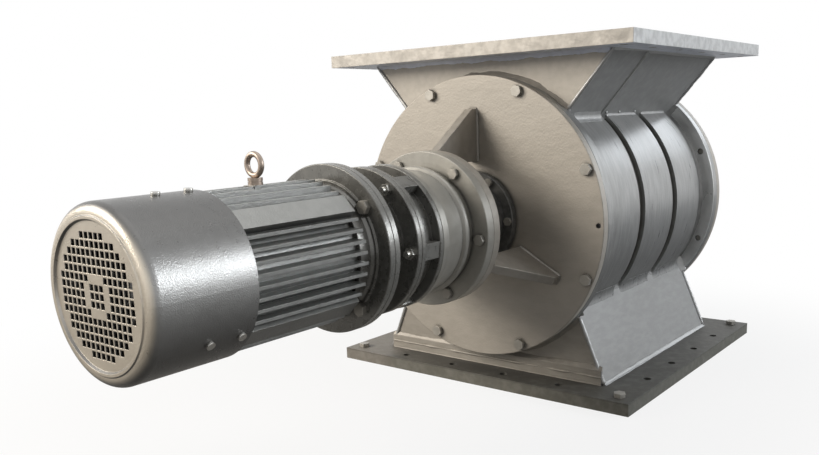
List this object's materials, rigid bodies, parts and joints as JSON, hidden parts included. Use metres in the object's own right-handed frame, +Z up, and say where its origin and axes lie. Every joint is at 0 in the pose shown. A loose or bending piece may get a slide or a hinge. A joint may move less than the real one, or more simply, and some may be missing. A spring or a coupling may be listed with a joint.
{
  "type": "rotary airlock valve with gearmotor",
  "caption": "Rotary airlock valve: welded drum body between square flanges, vaned rotor, end covers and bracket, driven by a flange-mounted cycloidal gearmotor.",
  "frame": {"origin": "centre of the outlet flange's bottom face", "axes": "+Z up through the inlet, +Y along the rotor axis away from the motor, +X across the rotor"},
  "size_m": [0.63, 1.367, 0.614],
  "materials": {
    "valve_paint": "silver-grey paint over welded steel",
    "reducer_paint": "silver-grey paint over cast iron",
    "motor_paint": "silver-grey paint over aluminium and sheet steel",
    "painted_bolts": "bolt heads painted with the body",
    "machined_steel": "turned and ground",
    "rotor_steel": "welded and machined at the tips",
    "gear_steel": "hardened and ground",
    "bearing_steel": "ground rings",
    "eye_steel": "forged, lightly browned",
    "seal_rubber": "black",
    "packing_cord": "braided packing",
    "core_steel": "laminated",
    "winding_copper": "varnished",
    "fan_plastic": "moulded black"
  },
  "bodies": {
    "housing": {"bearing_cap_screws": "painted_bolts", "bearing_housing_bolts": "painted_bolts", "body_barrel": "valve_paint", "bracket_gussets": "valve_paint", "bracket_ring": "valve_paint", "cable_gland": "seal_rubber", "cover_bolts": "painted_bolts", "cowl_screws": "painted_bolts", "fan_cowl": "motor_paint", "front_bearing": "bearing_steel", "front_bearing_cap": "valve_paint", "front_bearing_housing": "valve_paint", "front_cover": "valve_paint", "front_shaft_packing": "packing_cord", "inlet_chute": "valve_paint", "inlet_flange": "valve_paint", "input_shaft_seal": "seal_rubber", "lifting_eye": "eye_steel", "motor_flange_bolts": "painted_bolts", "motor_flange_shield": "motor_paint", "motor_frame": "motor_paint", "motor_front_bearing": "bearing_steel", "motor_rear_bearing": "bearing_steel", "motor_rear_shield": "motor_paint", "outlet_chute": "valve_paint", "outlet_corner_bolts": "painted_bolts", "outlet_flange": "valve_paint", "output_shaft_inner_bearing": "bearing_steel", "output_shaft_outer_bearing": "bearing_steel", "output_shaft_seal": "seal_rubber", "pin_gear_housing": "reducer_paint", "rear_bearing": "bearing_steel", "rear_bearing_cap": "valve_paint", "rear_bearing_housing": "valve_paint", "rear_cover": "valve_paint", "rear_shaft_packing": "packing_cord", "reducer_input_flange": "reducer_paint", "reducer_mount_bolts": "painted_bolts", "reducer_output_housing": "reducer_paint", "reducer_stage_studs": "painted_bolts", "ring_pins": "machined_steel", "stator_core": "core_steel", "stator_windings": "winding_copper", "terminal_box": "motor_paint", "terminal_box_lid": "motor_paint", "terminal_box_screws": "painted_bolts"},
    "rotor": {"rotor_shaft": "machined_steel", "rotor_vanes": "rotor_steel", "coupling_sleeve": "machined_steel", "coupling_keys": "machined_steel", "output_shaft": "machined_steel", "carrier_pins": "machined_steel", "carrier_rollers": "machined_steel"},
    "motor_rotor": {"motor_shaft": "machined_steel", "motor_rotor_core": "core_steel", "cooling_fan": "fan_plastic", "eccentric_sleeve": "machined_steel", "eccentric_bearings": "bearing_steel"},
    "disc_front": {"cycloid_disc_front": "gear_steel"},
    "disc_rear": {"cycloid_disc_rear": "gear_steel"}
  },
  "joints": [
    {"name": "rotor_spin", "type": "hinge", "parent": "housing", "child": "rotor", "pos_m": [0, 0, 0.307], "axis": [0, 1, 0], "continuous": true},
    {"name": "motor_spin", "type": "hinge", "parent": "housing", "child": "motor_rotor", "pos_m": [0, 0, 0.307], "axis": [0, 1, 0], "continuous": true},
    {"name": "disc_front_spin", "type": "hinge", "parent": "motor_rotor", "child": "disc_front", "pos_m": [-0.002, -0.541, 0.307], "axis": [0, 1, 0], "continuous": true},
    {"name": "disc_rear_spin", "type": "hinge", "parent": "motor_rotor", "child": "disc_rear", "pos_m": [0.002, -0.561, 0.307], "axis": [0, 1, 0], "continuous": true}
  ],
  "couplings": [
    {"joint": "motor_spin", "follows": "rotor_spin", "ratio": -29},
    {"joint": "disc_front_spin", "follows": "rotor_spin", "ratio": 30},
    {"joint": "disc_rear_spin", "follows": "rotor_spin", "ratio": 30}
  ]
}
